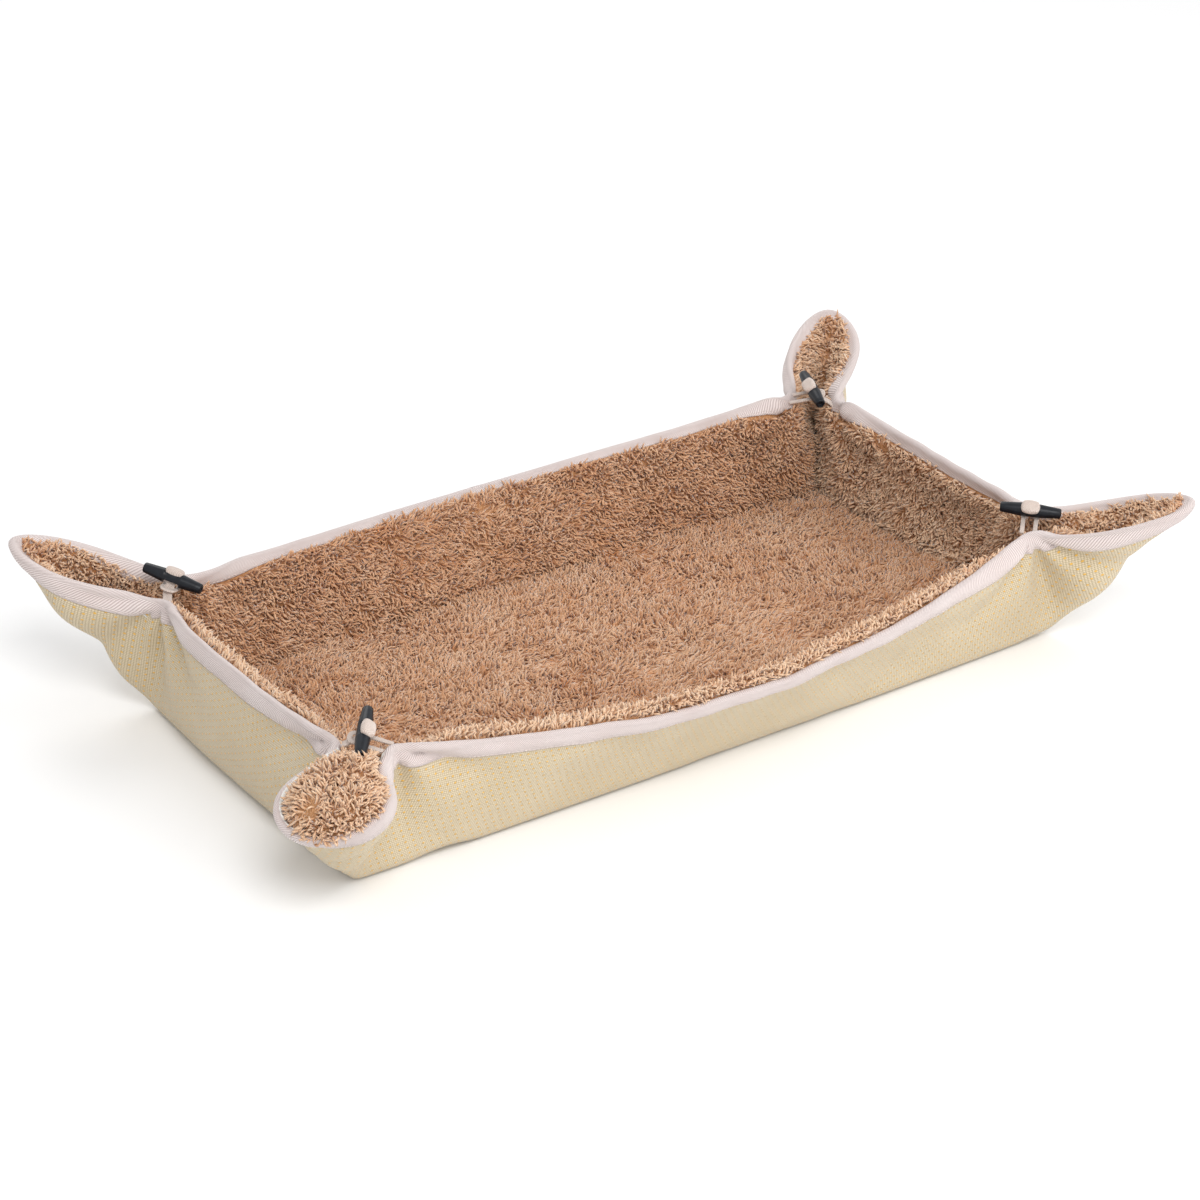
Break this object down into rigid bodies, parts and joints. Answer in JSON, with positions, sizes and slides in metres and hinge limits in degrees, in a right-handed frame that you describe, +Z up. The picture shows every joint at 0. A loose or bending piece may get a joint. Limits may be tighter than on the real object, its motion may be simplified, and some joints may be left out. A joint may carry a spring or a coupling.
{
  "type": "window sill cat cushion",
  "caption": "Padded plush-lined mat pinched up at its corners by toggles and loops into a shallow tray with folded ears, for a cat to lie in on a sill",
  "frame": {"origin": "middle of the flat underside, on the surface that the mat lies on", "axes": "+X along the long side, +Y across to the far long wall, +Z up"},
  "size_m": [0.7999, 0.4699, 0.1344],
  "materials": {
    "outer_cloth": "coarse beige weave with small raised non-slip dots",
    "wadding": "white polyester wadding, hidden",
    "plush": "tan tufted plush pile",
    "twill_tape": "pale pinkish grey twill tape",
    "toggle_plastic": "glossy blue-black moulded plastic"
  },
  "bodies": {
    "mat": {"outer_cover": "outer_cloth", "wadding": "wadding", "fleece_floor": "plush", "fleece_lining": "plush", "edge_binding": "twill_tape", "strap_back": "twill_tape", "loop_back": "twill_tape", "strap_right": "twill_tape", "loop_right": "twill_tape", "strap_left": "twill_tape", "loop_left": "twill_tape", "strap_front": "twill_tape", "loop_front": "twill_tape"},
    "toggle_back": {"toggle_back": "toggle_plastic"},
    "toggle_right": {"toggle_right": "toggle_plastic"},
    "toggle_left": {"toggle_left": "toggle_plastic"},
    "toggle_front": {"toggle_front": "toggle_plastic"}
  },
  "joints": [
    {"name": "toggle_back_swivel", "type": "hinge", "parent": "mat", "child": "toggle_back", "pos_m": [0.305, 0.14, 0.1125], "axis": [-0.6214, 0.0847, 0.7789], "range_deg": [-35, 20]},
    {"name": "toggle_right_swivel", "type": "hinge", "parent": "mat", "child": "toggle_right", "pos_m": [0.305, -0.14, 0.1125], "axis": [-0.4243, -0.4243, 0.8], "range_deg": [-12, 30]},
    {"name": "toggle_left_swivel", "type": "hinge", "parent": "mat", "child": "toggle_left", "pos_m": [-0.305, 0.14, 0.1125], "axis": [0.5153, 0.12, 0.8486], "range_deg": [-35, 20]},
    {"name": "toggle_front_swivel", "type": "hinge", "parent": "mat", "child": "toggle_front", "pos_m": [-0.305, -0.14, 0.1125], "axis": [0.3944, -0.5352, 0.747], "range_deg": [-40, 10]}
  ]
}
